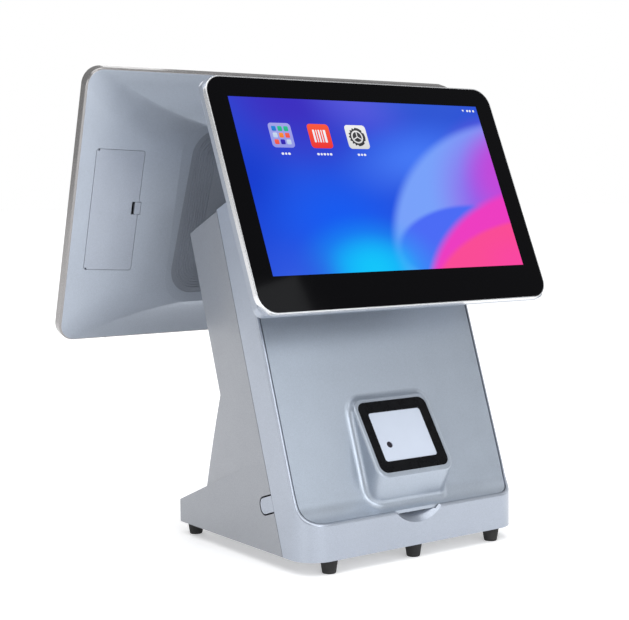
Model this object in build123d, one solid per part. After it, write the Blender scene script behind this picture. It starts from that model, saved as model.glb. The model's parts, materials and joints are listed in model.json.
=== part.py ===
from build123d import *

import os
from math import cos, radians, sin

# Two-screen shop terminal. Millimetres, +Z up. The guest (customer) side faces -Y, the cashier
# (operator) side faces +Y. Design coordinates have y = 0 at the front feet's centres, and
# everything is moved by CENTRE_Y at the end, so that the origin is the middle of the footprint box.

CENTRE_Y = 119.947
FIT_GAP = 0.05            # radial running clearance of a hinge pin

# ---- stand: side outline -------------------------------------------------------------------
STAND_HALF = 110.6        # half width of the stand
STAND_FRONT = -8.0
STAND_BOTTOM = 11.0
STAND_REAR = 184.5
PLAN_CORNER = 22.0        # front corners seen from above
FOOT_TOP_Z = 29.7         # top of the low rear foot of the stand
STEP = (150.0, 44.0)      # where the neck rises from the foot
WAIST = (117.1, 125.8)
HEAD_REAR = (162.3, 261.3)
HEAD_TOP_SLOPE = -0.4087  # dz/dy of the head's roof
REAR_EDGE = 2.5           # rounding of the rear corners
WALL = 3.0
TAPER_RADIUS = 800.0      # the neck's sides curl in slightly towards the rear
TAPER_REACH = 190.0       # how far behind the seam that curl runs

# front surface: a leaning plane A that turns into the top of the front band B
LEAN_A = 18.7             # degrees from vertical
POINT_A = (18.0, 80.0)
SLOPE_B = 10.0            # degrees above horizontal
POINT_B = (-8.0, 40.0)
SWEEP_RADIUS = 22.0

# seam between the front frame and the rear shell
SEAM_POINT = (25.2, 10.9)
SEAM_LEAN = 18.43
SEAM_GAP = 0.5

# front cover and its seat in the frame
COVER_RECESS = 0.3
COVER_WALL = 2.5
SEAT_DEPTH = COVER_RECESS + COVER_WALL + 0.3
LEDGE = 2.4
LIP = 2.4                 # visible width of the frame around the cover
COVER_GAP = 1.1
COVER_TOP_Z = 227.5
COVER_TRAVEL = 10.0       # it slides up this far before its hooks are free

# ---- scanner pod ---------------------------------------------------------------------------
POD_TILT = 33.3
POD_FACE = (11.8, 98.1)   # centre of the pod's face
POD_W, POD_H = 79.0, 70.6
POD_CORNER = 10.5
POD_FOOT = (3.6, 44.0)    # where its lower face runs into the cover
BEZEL_W, BEZEL_H = 70.4, 62.0
WINDOW_W, WINDOW_H = 53.6, 43.0
LENS_AT = (-16.7, -7.2)
LENS_R = 2.7

# ---- customer display (11.6 inch) ----------------------------------------------------------
GUEST_TILT = 23.5
GUEST_CENTRE = (36.1, 299.0)     # centre of the picture on the glass
GUEST_W, GUEST_H = 292.9, 195.9  # glass
GUEST_SHIFT = -5.1               # glass centre below the picture's centre
GUEST_CORNER = 15.0
GUEST_TRIM = 1.0
GUEST_TRIM_DEPTH = 4.5
GUEST_DEPTH = 13.0
GUEST_BULGE = 24.0
GUEST_AXIS = (60.0, 262.0)

# ---- main display (15.6 inch) --------------------------------------------------------------
MAIN_TILT = 17.0
MAIN_CENTRE = (213.3, 285.9)
MAIN_W, MAIN_H = 391.7, 237.5
MAIN_CORNER = 15.0
MAIN_RIM = 1.0
MAIN_RIM_DEPTH = 10.0
MAIN_DOME = 22.5
MAIN_SKIN = 2.4
BOSS_TOP_HALF, BOSS_LOW_HALF = 94.5, 102.5   # half widths of the boss at its two ends
BOSS_TOP, BOSS_LOW, BOSS_CORNER = 73.5, -75.2, 24.0
DOME_DROP = -3.8          # the dome's crown lies this much below the middle
MAIN_AXIS = (176.0, 252.0)
DOOR_X, DOOR_Y = (139.5, 181.0), (-53.0, 52.0)
DOOR_GAP = 0.35
DOOR_CORNER = 2.0
DOOR_EDGE_R = 1.0         # the hinge edge is a full round about the hinge line
DOOR_AXIS = (DOOR_X[1] - DOOR_EDGE_R, -11.77)
DOOR_PIN_R, DOOR_PIN_REACH = 0.5, 2.0
DOOR_NOTCH = 1.4          # the hinge edge's two corners are cut back this far to swing clear
LATCH_Y = 2.2
LATCH_H = 10.5

# ---- display mountings ---------------------------------------------------------------------
BOLT_SPACING = 75.0
SCREW_HOLE_R = 2.2

# ---- feet ----------------------------------------------------------------------------------
FRONT_FEET_X = (-84.5, 0.0, 84.5)
REAR_FEET_X = (-99.0, 99.0)
REAR_FEET_Y = 176.0
FOOT_TOP_R, FOOT_TIP_R = 7.1, 5.4
PLATE_Z = (12.5, 14.5)

# ---- stand: smaller features ---------------------------------------------------------------
LIP_EDGE = 2.0            # rounding of the frame's front edge
SCOOP_HALF = 24.0         # finger scoop in the front band
SCOOP_CENTRE = (-28.0, 62.1)
SCOOP_R = 38.3
TAB_RUN = (36.0, 48.7)    # release tab, measured along the seam
TAB_REACH = 17.3
TAB_SLOT = 1.3
TAB_CORNER = 5.0
SCREW_R = 1.5
SCREW_POINTS = ((99.0, 15.0), (103.5, 100.0), (100.0, 160.0))
BALLAST_TOP = 22.5
CHANNEL_HALF = 46.0
SHEET = 2.5
MAIN_PIN_R, MAIN_EYE_R = 4.0, 9.0
GUEST_PIN_R, GUEST_EYE_R = 3.5, 8.0
MAIN_ARM_ROOT = (112.0, 238.0)
GUEST_ARM_ROOT = (101.0, 258.0)

# sockets in the base's rear recess
IO_HALF = 56.0
IO_Z = (14.6, 27.4)
IO_FACE = 172.0
BOARD_TOP = 16.8
USB_X = (-38.0, -18.0)
LAN_X = 8.0
POWER_X = 34.0

POD_ROOT_FILLET = 6.0
POD_EDGE = 2.0
GUEST_BOSS_Y = -24.0
BRACKET_Y = -21.5
BUTTON_AT = (150.0, -118.75, -6.0)
BUTTON_R = 2.6
LATCH_SLOT = 2.2
# back cover: depth, width, height and corner radius of each cross-section
DOME_SECTIONS = (
    (-10.0, 388.7, 234.5, 13.5), (-13.5, 352.0, 208.0, 20.0),
    (-18.0, 290.0, 180.0, 24.0), (-22.5, 212.0, 160.0, 24.0),
)
BOSS_FACE = -MAIN_DOME + 0.6
GROOVE_DEPTH = 0.6
GROOVES = 9
GROOVE_START = 4.6
GROOVE_PITCH = 2.4
GROOVE_W = 1.1

PARTS = {}


# ---- small helpers -------------------------------------------------------------------------
def prism(points, half_width):
    """A side outline given as (y, z) points, extruded to both sides of the middle."""
    return extrude(Plane.YZ * Polygon(*points, align=None), half_width, both=True)


def plate(width, height, radius, front, back, x=0.0, y=0.0):
    """A rounded plate in a display's own frame, from z = back up to z = front."""
    return Pos(x, y, back) * extrude(RectangleRounded(width, height, radius), front - back)


def block(x, y, z):
    """A box from three (low, high) pairs."""
    size = [b - a for a, b in (x, y, z)]
    middle = [(a + b) / 2 for a, b in (x, y, z)]
    return Pos(*middle) * Box(*size)


def tube_x(radius, low, high, y=0.0, z=0.0):
    """A cylinder along X."""
    return Pos((low + high) / 2, y, z) * Rot(0, 90, 0) * Cylinder(radius, high - low)


def post(radius, x, y, low, high):
    """A cylinder along Z."""
    return Pos(x, y, (low + high) / 2) * Cylinder(radius, high - low)


def mirrored(shape):
    """The shape and its mirror image across the middle."""
    return [shape, mirror(shape, Plane.YZ)]


def frame_at(point, tilt, toward):
    """A display's frame: x to the viewer's right, y up the glass, z out towards the viewer."""
    t = radians(tilt)
    return Plane(origin=(0, *point), x_dir=(-toward, 0, 0), z_dir=(0, toward * cos(t), sin(t)))


GUEST = frame_at(GUEST_CENTRE, GUEST_TILT, -1)
MAIN = frame_at(MAIN_CENTRE, MAIN_TILT, 1)
SCANNER = frame_at(POD_FACE, POD_TILT, -1)


def in_frame(frame, point):
    """A (y, z) point of the middle plane in a display's own (y, z)."""
    local = frame.to_local_coords(Vector(0, *point))
    return local.Y, local.Z


def along(point, lean, distance, across=0.0):
    """From a (y, z) point along a line leaning back from vertical, then to its rear side."""
    a = radians(lean)
    return (
        point[0] + distance * sin(a) + across * cos(a),
        point[1] + distance * cos(a) - across * sin(a),
    )


# ---- stand: shared solids ------------------------------------------------------------------
def roof(y):
    return HEAD_REAR[1] + HEAD_TOP_SLOPE * (y - HEAD_REAR[0])


def outline(inset, bottom=STAND_BOTTOM):
    """The stand's side outline, inset all round, on the YZ plane."""
    far = STAND_FRONT - 10
    points = [
        (far, bottom - 40), (STAND_REAR, bottom - 40), (STAND_REAR, FOOT_TOP_Z), STEP, WAIST,
        HEAD_REAR, (far, roof(far)),
    ]
    face = Polygon(*points, align=None)
    return offset(face, -inset, kind=Kind.INTERSECTION) if inset else face


def plan(inset):
    """A column with the stand's plan, round at the front corners and open to the rear."""
    x, front, rear = STAND_HALF - inset, STAND_FRONT + inset, STAND_REAR + 40
    face = Polygon((-x, front), (x, front), (x, rear), (-x, rear), align=None)
    corners = face.vertices().sort_by(Axis.Y)[:2]
    return extrude(fillet(corners, PLAN_CORNER - inset), 400)


def front_profile(depth):
    """Side outline of everything behind the front surface, the surface being set back by depth."""
    a, b = radians(LEAN_A), radians(SLOPE_B)
    ay, az = along(POINT_A, LEAN_A, 0, depth)
    by, bz = POINT_B[0] + depth * sin(b), POINT_B[1] - depth * cos(b)
    # crossing of the line up A with the line B
    run = ((az - bz) * cos(b) - (ay - by) * sin(b)) / (sin(a) * sin(b) - cos(a) * cos(b))
    corner = (ay + run * sin(a), az + run * cos(a))
    far_b = (corner[0] - 80 * cos(b), corner[1] - 80 * sin(b))
    points = [corner, along(corner, LEAN_A, 330), (400, 330), (400, -80), (far_b[0], -80), far_b]
    face = Polygon(*points, align=None)
    turn = face.vertices().sort_by_distance((*corner, 0))[0]
    return fillet(turn, SWEEP_RADIUS + depth)


def front_line(depth):
    """The front surface's own edges in the side outline: the arc and the two lines beside it."""
    edges = front_profile(depth).edges()
    arc = edges.filter_by(GeomType.CIRCLE)[0]
    return [e for e in edges if e.distance_to(arc) < 0.001]


def on_front(point, line):
    return min(Vertex(point.Y, point.Z, 0).distance_to(e) for e in line) < 0.01


def behind(depth):
    return extrude(Plane.YZ * front_profile(depth), 300, both=True)


def seam_side(rear, gap):
    """The half space behind (or in front of) the seam."""
    side = 1 if rear else -1
    corners = [(-60, gap), (400, gap), (400, 400), (-60, 400)]
    return prism([along(SEAM_POINT, SEAM_LEAN, run, side * across) for run, across in corners], 300)


def stand_block(inset, bottom=STAND_BOTTOM):
    """The stand's outer form without its front surface, inset all round, cut off at bottom."""
    body = extrude(Plane.YZ * outline(inset), STAND_HALF - inset, both=True)
    return body & plan(inset) & block((-300, 300), (-100, 400), (bottom, 400))


def taper_cut(inset):
    """What the neck's curled sides leave out: above the low foot and behind the seam."""
    lean = radians(SEAM_LEAN)
    # frame with z along the seam, x across the stand and y to the rear of the seam
    seam = Plane(origin=(0, *SEAM_POINT), x_dir=(1, 0, 0), z_dir=(0, sin(lean), cos(lean)))
    x = STAND_HALF - inset
    sag = TAPER_RADIUS - (TAPER_RADIUS ** 2 - TAPER_REACH ** 2) ** 0.5
    start, end = (x, 0), (x - sag, TAPER_REACH)
    arc = RadiusArc(start, end, -TAPER_RADIUS)
    if arc.center().X < (start[0] + end[0]) / 2:
        arc = RadiusArc(start, end, TAPER_RADIUS)
    face = make_face(arc + Polyline(end, (x + 60, TAPER_REACH), (x + 60, 0), start))
    wedge = seam * Pos(0, 0, -120) * extrude(face, 520)
    slope = (STEP[1] - FOOT_TOP_Z) / (STEP[0] - STAND_REAR)
    foot_top = [(y, FOOT_TOP_Z + (y - STAND_REAR) * slope - inset) for y in (STAND_REAR + 40, -100)]
    above = prism([*foot_top, (-100, 400), (STAND_REAR + 40, 400)], 300)
    return both_sides(wedge & above)


def below_cover_top(gap):
    """The half space below the cover's upper edge, the edge being square to the front surface."""
    run = (COVER_TOP_Z - POINT_A[1]) / cos(radians(LEAN_A)) - gap
    corners = [(run, 200), (run, -200), (-400, -200), (-400, 200)]
    return prism([along(POINT_A, LEAN_A, *c) for c in corners], 300)


def tab_bar(grow, depth):
    """The tongue across the left seam, grown by the slot's width and cut to a depth from the side."""
    low, high = TAB_RUN
    length, height = TAB_REACH + grow, high - low + 2 * grow
    shape = RectangleRounded(2 * length, height, TAB_CORNER + grow)
    shape &= Pos(length / 2, 0) * Rectangle(length, height)
    a = radians(SEAM_LEAN)
    side = Plane(
        origin=(-STAND_HALF, *along(SEAM_POINT, SEAM_LEAN, (low + high) / 2)),
        x_dir=(0, cos(a), -sin(a)), z_dir=(1, 0, 0),
    )
    return side * Pos(0, 0, -1) * extrude(shape, depth + 1)


def release_tab():
    """The left tongue, flush with the stand's side."""
    return tab_bar(0, WALL - 0.5) & stand_block(0) & seam_side(True, 0)


def both_sides(shape):
    left, right = mirrored(shape)
    return left + right


# ---- stand: pieces -------------------------------------------------------------------------
def front_frame():
    body = stand_block(0) & behind(0)
    line = front_line(0)
    edges = [e for e in body.edges() if is_front_edge(e, line)]
    body = fillet(edges, LIP_EDGE) & seam_side(False, SEAM_GAP / 2)
    pocket = plan(LIP) - behind(SEAT_DEPTH)
    body -= pocket & below_cover_top(-COVER_TRAVEL - COVER_GAP)
    through = plan(LIP + 4) - behind(SEAT_DEPTH + LEDGE)
    body -= through & below_cover_top(4)
    scoop_back = block((-SCOOP_HALF - 4, SCOOP_HALF + 4), (STAND_FRONT + 1, STAND_FRONT + 20), (24, 60))
    cavity = (stand_block(WALL, 0) & behind(SEAT_DEPTH + LEDGE)) - scoop_back
    body -= cavity
    body -= Pos(0, *SCOOP_CENTRE) * Sphere(SCOOP_R)
    body -= block((-22, 22), (40, 110), (249, 271.5))
    gusset = block((-108.5, -88), (4, 26), (PLATE_Z[1], 34)) & stand_block(1) & behind(SEAT_DEPTH + 1)
    body += both_sides(gusset) & seam_side(False, 1)
    body -= both_sides(post(SCREW_R + 0.15, *SCREW_POINTS[0], 10, 30))
    return body


def is_front_edge(edge, line):
    """Edges round the stand's front surface, apart from its hidden top edge."""
    start, middle, end = (edge.position_at(t) for t in (0, 0.5, 1))
    is_top = abs(middle.X) < 1 and middle.Z > 60
    return not is_top and all(on_front(p, line) for p in (start, middle, end))


def rear_shell():
    def solid(inset, bottom):
        return (stand_block(inset, bottom) & seam_side(True, SEAM_GAP / 2)) - taper_cut(inset)

    body = solid(0, STAND_BOTTOM)
    for low, high in ((STAND_BOTTOM, STEP[1]), (WAIST[1], 400)):
        body = fillet([e for e in body.edges() if is_rear_edge(e, low, high)], REAR_EDGE)
    bosses = post(5, *SCREW_POINTS[1], PLATE_Z[1], 60) + post(5, *SCREW_POINTS[2], PLATE_Z[1], 60)
    body = (body - solid(WALL, 0)) + (both_sides(bosses) & solid(1, PLATE_Z[1]))
    body -= block((-30, 30), (130, 180), (234, 262))
    body -= block((-IO_HALF, IO_HALF), (175, 190), IO_Z)
    body -= both_sides(tab_bar(TAB_SLOT, WALL + 1))
    for point in SCREW_POINTS[1:]:
        body -= both_sides(post(SCREW_R + 0.15, *point, 10, 26))
    return body


def is_rear_edge(edge, low, high):
    """A long outer corner up the rear, between two heights, where a side meets the back or the roof."""
    middle = edge.position_at(0.5)
    is_corner = abs(middle.X) > STAND_HALF - 15 and middle.Y > STEP[0] - 15
    is_crease = abs(middle.X) > STAND_HALF - 0.01 and middle.Y < STEP[0]
    return is_corner and not is_crease and low < middle.Z < high and edge.length > 15


def base_plate():
    inside = plan(WALL + 0.4) & block((-200, 200), (-50, STAND_REAR - WALL - 0.4), PLATE_Z)
    for point in SCREW_POINTS:
        inside -= both_sides(post(SCREW_R + 0.2, *point, 10, 16))
    return inside


def foot_places():
    return [(x, 0.0) for x in FRONT_FEET_X] + [(x, REAR_FEET_Y) for x in REAR_FEET_X]


def rubber_feet():
    height = STAND_BOTTOM - 0.1
    foot = Cone(FOOT_TIP_R, FOOT_TOP_R, height, align=(Align.CENTER, Align.CENTER, Align.MIN))
    foot = fillet(foot.edges().sort_by(Axis.Z)[0], 1.0) + post(3.5, 0, 0, height, PLATE_Z[0])
    return [Pos(x, y, 0) * foot for x, y in foot_places()]


def base_screws():
    screw = post(3.4, 0, 0, PLATE_Z[0] - 1.4, PLATE_Z[0]) + post(SCREW_R, 0, 0, PLATE_Z[0], PLATE_Z[1] + 9)
    return [Pos(side * x, y, 0) * screw for x, y in SCREW_POINTS for side in (-1, 1)]


def support_frame():
    """Folded steel channel from the ballast up to the head, open to the rear."""
    front = [(62, BALLAST_TOP), (66, 137), (92, 262), (96, 270)]
    rear = [(140, 254), (100, 140), (116, BALLAST_TOP)]
    outer = prism([*front, *rear], CHANNEL_HALF)
    rises = (SHEET, 0, 0, -SHEET)
    inside = [(y + SHEET, z + rise) for (y, z), rise in zip(front, rises)]
    inner = prism([*inside, (170, 243), (130, 140), (146, BALLAST_TOP + SHEET)], CHANNEL_HALF - SHEET)
    tabs = block((-CHANNEL_HALF - 14, CHANNEL_HALF + 14), (64, 84), (BALLAST_TOP, BALLAST_TOP + SHEET))
    arm_windows = block((-24.2, 24.2), (80, 100), (246, 272))
    return (outer - inner) + tabs - arm_windows


def hinge_arm(axis, barrel_r, pin_r, half, root, flange):
    """A cast arm from a flange inside the channel to a hinge barrel outside the stand."""
    y, z = axis
    ry, rz = root
    arm = prism([(y, z - barrel_r * 0.9), (y, z + barrel_r * 0.9), (ry, rz + 7), (ry, rz - 9)], half)
    arm += tube_x(barrel_r, -half, half, y, z)
    arm += block((SHEET - CHANNEL_HALF, CHANNEL_HALF - SHEET), flange, (rz - 9, rz + 6))
    return arm - tube_x(pin_r + FIT_GAP, -half - 1, half + 1, y, z)


def hinge_pin(axis, radius, half):
    return tube_x(radius, -half, half, *axis)


def washers(axis, outer, inner, spans):
    ring = [tube_x(outer, a, b, *axis) - tube_x(inner + FIT_GAP, a - 1, b + 1, *axis) for a, b in spans]
    return ring + [mirror(r, Plane.YZ) for r in ring]


def hex_nuts(axis, across, inner, low, high):
    y, z = axis
    hexagon = RegularPolygon(across / 2, 6, major_radius=False)
    nut = Pos(low, y, z) * Rot(0, 90, 0) * extrude(hexagon, high - low)
    return mirrored(nut - tube_x(inner + FIT_GAP, low - 1, high + 1, y, z))


# ---- stand: electronics --------------------------------------------------------------------
def io_board():
    return block((-58, 58), (128, IO_FACE - 0.1), (15.2, BOARD_TOP))


def socket(x, width, height, depth, wall, bottom):
    """A socket shell, open to the rear, its mouth flush with the sockets' plate."""
    low, high = BOARD_TOP + bottom, BOARD_TOP + bottom + height
    shell = block((x - width / 2, x + width / 2), (IO_FACE - depth, IO_FACE), (low, high))
    return shell - block(
        (x - width / 2 + wall, x + width / 2 - wall), (IO_FACE - depth + wall, IO_FACE + 1),
        (low + wall, high - wall),
    )


def usb_sockets():
    shells = []
    for x in USB_X:
        shell = socket(x, 14.5, 7.2, 14, 0.7, 0)
        thickness = (BOARD_TOP + 5.4, BOARD_TOP + 6.2)
        shells.append(shell + block((x - 5.2, x + 5.2), (IO_FACE - 13.3, IO_FACE - 2), thickness))
    return shells


def power_socket():
    x, z = POWER_X, BOARD_TOP + 5.5
    body = block((x - 4.5, x + 4.5), (IO_FACE - 14, IO_FACE), (BOARD_TOP, BOARD_TOP + 11))
    hole = Pos(x, IO_FACE - 5, z) * Rot(90, 0, 0) * Cylinder(3.1, 10.02)
    pin = Pos(x, IO_FACE - 6, z) * Rot(90, 0, 0) * Cylinder(1.0, 9)
    return body - hole + pin


def io_face_plate():
    face = block((-IO_HALF - 4, IO_HALF + 4), (IO_FACE, IO_FACE + 1), (15, 30))
    through = (IO_FACE - 1, IO_FACE + 2)
    for x in USB_X:
        face -= block((x - 6.6, x + 6.6), through, (BOARD_TOP + 0.7, BOARD_TOP + 6.5))
    face -= block((LAN_X - 6.6, LAN_X + 6.6), through, (BOARD_TOP + 1.2, BOARD_TOP + 10.8))
    face -= Pos(POWER_X, IO_FACE, BOARD_TOP + 5.5) * Rot(90, 0, 0) * Cylinder(3.4, 4)
    return face


# ---- front cover with its scanner ----------------------------------------------------------
def pod_outline(inset):
    """Side outline of the pod: its face, its top and the lower face that runs into the cover."""
    t = radians(POD_TILT)
    y, z = POD_FACE
    half = POD_H / 2
    top = (y + half * sin(t), z + half * cos(t))
    low = (y - half * sin(t), z - half * cos(t))
    back = 34.0
    points = [low, top, (top[0] + back * cos(t), top[1] - back * sin(t)), (70, POD_FOOT[1]), POD_FOOT]
    face = Polygon(*points, align=None)
    return offset(face, -inset, kind=Kind.INTERSECTION) if inset else face


def pod_block(inset, corner):
    """The pod as a solid, its four long edges that run back from the face being round."""
    body = extrude(Plane.YZ * pod_outline(inset), POD_W / 2 - inset, both=True)
    face = body.faces().sort_by_distance(Vector(0, *POD_FACE))[0]
    runs = [e for e in body.edges() if Vertex(*e.position_at(0.5)).distance_to(face) > 0.1]
    return fillet([e for e in runs if any(v.distance_to(face) < 0.01 for v in e.vertices())], corner)


def front_cover():
    skin = (behind(COVER_RECESS) - behind(COVER_RECESS + COVER_WALL)) & plan(LIP + COVER_GAP)
    skin = skin & below_cover_top(0)
    pod = pod_block(0, POD_CORNER)
    face_edges = pod.faces().sort_by_distance(Vector(0, *POD_FACE))[0].edges()
    pod = fillet(face_edges, POD_EDGE) - behind(COVER_RECESS + COVER_WALL)
    body = skin + pod
    line = front_line(COVER_RECESS)
    joint = [e for e in body.edges() if is_pod_root(e, line)]
    body = fillet(joint, POD_ROOT_FILLET)
    hollow = pod_block(2.5, POD_CORNER - 2.5)
    body -= hollow & block((-200, 200), (-50, 200), (52.5, 300)) - behind(COVER_RECESS + COVER_WALL + 5)
    body -= SCANNER * plate(BEZEL_W + 0.3, BEZEL_H + 0.3, 7.2, 1, -5)
    return body


def is_pod_root(edge, line):
    """Edges where the pod stands out of the cover's front surface."""
    middle = edge.position_at(0.5)
    return abs(middle.X) < POD_W / 2 + 1 and 43 < middle.Z < 135 and on_front(middle, line)


def scanner_bezel():
    body = plate(BEZEL_W, BEZEL_H, 7, -0.3, -4.5) - plate(WINDOW_W + 0.2, WINDOW_H + 0.2, 2.6, 1, -6)
    return SCANNER * body


def scanner_window():
    pane = plate(WINDOW_W, WINDOW_H, 2.5, -0.9, -3.4)
    return SCANNER * (pane - post(LENS_R + 0.1, *LENS_AT, -5, 1))


def scanner_lens():
    return SCANNER * post(LENS_R, *LENS_AT, -9, -1.5)


def scanner_camera():
    x, y = LENS_AT
    return SCANNER * block((x - 7, x + 7), (y - 7, y + 7), (-15, -9))


def scanner_board():
    return SCANNER * plate(60, 50, 2, -15, -16.6)


def scanner_lights():
    places = [(x, y) for x in (-20, 0, 20) for y in (-16, 16)]
    return [SCANNER * block((x - 1.8, x + 1.8), (y - 1.8, y + 1.8), (-15, -13.4)) for x, y in places]


# ---- displays ------------------------------------------------------------------------------
def ear(middle, thickness, foot, axis, eye_r, pin_r, root_half):
    """A hinge ear in a display's frame: from its foot plate at z = foot to the eye at axis."""
    y, z = axis
    web = Polygon((y - root_half, foot), (y + root_half, foot), (y + eye_r, z), (y - eye_r, z), align=None)
    body = Pos(middle, 0, 0) * extrude(Plane.YZ * web, thickness / 2, both=True)
    low, high = middle - thickness / 2, middle + thickness / 2
    body += tube_x(eye_r, low, high, y, z)
    return body - tube_x(pin_r + FIT_GAP, low - 1, high + 1, y, z)


def guest_glass():
    return GUEST * plate(GUEST_W, GUEST_H, GUEST_CORNER, 0, -1.8, 0, GUEST_SHIFT)


def guest_trim():
    width, height = GUEST_W + 2 * GUEST_TRIM, GUEST_H + 2 * GUEST_TRIM
    outer = plate(width, height, GUEST_CORNER + GUEST_TRIM, 0, -GUEST_TRIM_DEPTH, 0, GUEST_SHIFT)
    outer = fillet(outer.faces().sort_by(Axis.Z)[-1].edges(), 0.5)
    inner = plate(GUEST_W - 14, GUEST_H - 14, 8, 1, -10, 0, GUEST_SHIFT)
    seat = plate(GUEST_W, GUEST_H, GUEST_CORNER, 1, -1.8, 0, GUEST_SHIFT)
    return GUEST * (outer - inner - seat)


def guest_panel():
    return GUEST * plate(268, 159, 1, -1.9, -5.5, 0, -2)


def guest_chassis():
    tray = plate(274, 176, 4, -5.6, -6.8, 0, GUEST_SHIFT)
    for x, y in square(BOLT_SPACING, GUEST_BOSS_Y):
        tray += post(3.5, x, y, -20, -6.8) - post(SCREW_HOLE_R, x, y, -21, -16)
    return GUEST * tray


def guest_board():
    board = block((-100, -45), (-50, 30), (-10, -8.6))
    for x, y, w in ((-86, 10, 12), (-62, -18, 16), (-84, -36, 9)):
        board += block((x - w / 2, x + w / 2), (y - w / 2, y + w / 2), (-8.6, -7.6))
    return GUEST * board


def guest_bulge(inset):
    return plate(150 - 2 * inset, 104 - 2 * inset, 12 - inset, -8, -GUEST_BULGE + inset, 0, GUEST_BOSS_Y)


def guest_back():
    body = plate(GUEST_W, GUEST_H, 7, -GUEST_TRIM_DEPTH, -GUEST_DEPTH, 0, GUEST_SHIFT)
    body = fillet(body.faces().sort_by(Axis.Z)[0].edges(), 3)
    body += guest_bulge(0)
    body = fillet(body.faces().sort_by(Axis.Z)[0].edges(), 2.5)
    body -= plate(GUEST_W - 5, GUEST_H - 5, 5, 1, -GUEST_DEPTH + 2.2, 0, GUEST_SHIFT)
    body -= guest_bulge(2.5)
    for x, y in square(BOLT_SPACING, GUEST_BOSS_Y):
        body -= post(SCREW_HOLE_R, x, y, -30, -15)
    return GUEST * body


def guest_hinge_bracket():
    axis = in_frame(GUEST, GUEST_AXIS)
    foot = -GUEST_BULGE - SHEET
    body = plate(92, 88, 6, -GUEST_BULGE, foot, 0, GUEST_BOSS_Y)
    for x, y in square(BOLT_SPACING, GUEST_BOSS_Y):
        body -= post(SCREW_HOLE_R, x, y, -40, -10)
    for middle in (-24.8, 24.8):
        body += ear(middle, 6, foot, axis, GUEST_EYE_R, GUEST_PIN_R, 14)
    return GUEST * body


def pan_screws(frame, points, head_z, tip_z):
    """Cross-head screws, driven from behind the display."""
    head = fillet(post(3.5, 0, 0, head_z - 2, head_z).edges().sort_by(Axis.Z)[0], 0.8)
    slot = block((-2, 2), (-0.4, 0.4), (head_z - 3, head_z - 1))
    screw = head - slot - Rot(0, 0, 90) * slot + post(2.0, 0, 0, head_z, tip_z)
    return [frame * Pos(x, y, 0) * screw for x, y in points]


def square(spacing, y):
    return [(x, y + dy) for x in (-spacing / 2, spacing / 2) for dy in (-spacing / 2, spacing / 2)]


def main_glass():
    return MAIN * plate(MAIN_W - 2 * MAIN_RIM, MAIN_H - 2 * MAIN_RIM, MAIN_CORNER - MAIN_RIM, 0, -2)


def main_rim():
    outer = plate(MAIN_W, MAIN_H, MAIN_CORNER, 0, -MAIN_RIM_DEPTH)
    outer = fillet(outer.faces().sort_by(Axis.Z)[-1].edges(), 0.5)
    outer = fillet(outer.faces().sort_by(Axis.Z)[0].edges(), 2.2)
    inner = plate(380, 226, 8, 1, -20)
    seat = plate(MAIN_W - 2 * MAIN_RIM, MAIN_H - 2 * MAIN_RIM, MAIN_CORNER - MAIN_RIM, 1, -2)
    button = Pos(*BUTTON_AT) * Rot(90, 0, 0) * Cylinder(BUTTON_R + 0.3, 20)
    return MAIN * (outer - inner - seat - button)


def main_panel():
    return MAIN * plate(360, 214, 1, -2.1, -5.4)


def main_chassis():
    tray = plate(376, 222, 5, -5.5, -6.7)
    for x, y in square(BOLT_SPACING, BRACKET_Y):
        tray += post(4, x, y, -20, -6.7) - post(SCREW_HOLE_R, x, y, -21, -14)
    for x in (-70, 70):
        for y in (35, 85):
            tray += post(2.5, x, y, -10, -6.7)
    bx, by, bz = BUTTON_AT
    return MAIN * (tray - block((bx - 6, bx + 6), (by, by + 11.5), (bz - 4, bz + 4)))


def dome(shift, inset):
    """The back cover's domed form: a smooth loft of rounded rectangles, made smaller by inset."""
    sections = []
    for z, w, h, r in DOME_SECTIONS:
        shape = RectangleRounded(w - 2 * inset, h - 2 * inset, r - inset / 2)
        middle = DOME_DROP * (z + MAIN_RIM_DEPTH) / (MAIN_RIM_DEPTH - MAIN_DOME)
        sections.append(Pos(0, middle, z + shift) * shape)
    return loft(sections)


def door_prism(grow):
    (x0, x1), (y0, y1) = DOOR_X, DOOR_Y
    shape = RectangleRounded(x1 - x0 + 2 * grow, y1 - y0 + 2 * grow, max(DOOR_CORNER + grow, 1))
    return Pos((x0 + x1) / 2, (y0 + y1) / 2, -40) * extrude(shape, 40)


def rod_y(radius, low, high):
    """A cylinder along the door's hinge line."""
    x, z = DOOR_AXIS
    return Pos(x, (low + high) / 2, z) * Rot(90, 0, 0) * Cylinder(radius, high - low)


def boss_plate(inset, front):
    """A plate with the boss's outline, from z = front out past the back of the cover."""
    lean = (BOSS_LOW_HALF - BOSS_TOP_HALF) / (BOSS_TOP - BOSS_LOW)
    top, low = BOSS_TOP - inset, BOSS_LOW + inset
    wide, narrow = (BOSS_LOW_HALF - inset - lean * (y - BOSS_LOW) for y in (low, top))
    face = Polygon((-wide, low), (wide, low), (narrow, top), (-narrow, top), align=None)
    face = fillet(face.vertices(), BOSS_CORNER - inset * 0.8)
    return Pos(0, 0, -40) * extrude(face, front + 40)


def latch_span(grow):
    return LATCH_Y - LATCH_H / 2 - grow, LATCH_Y + LATCH_H / 2 + grow


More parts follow.
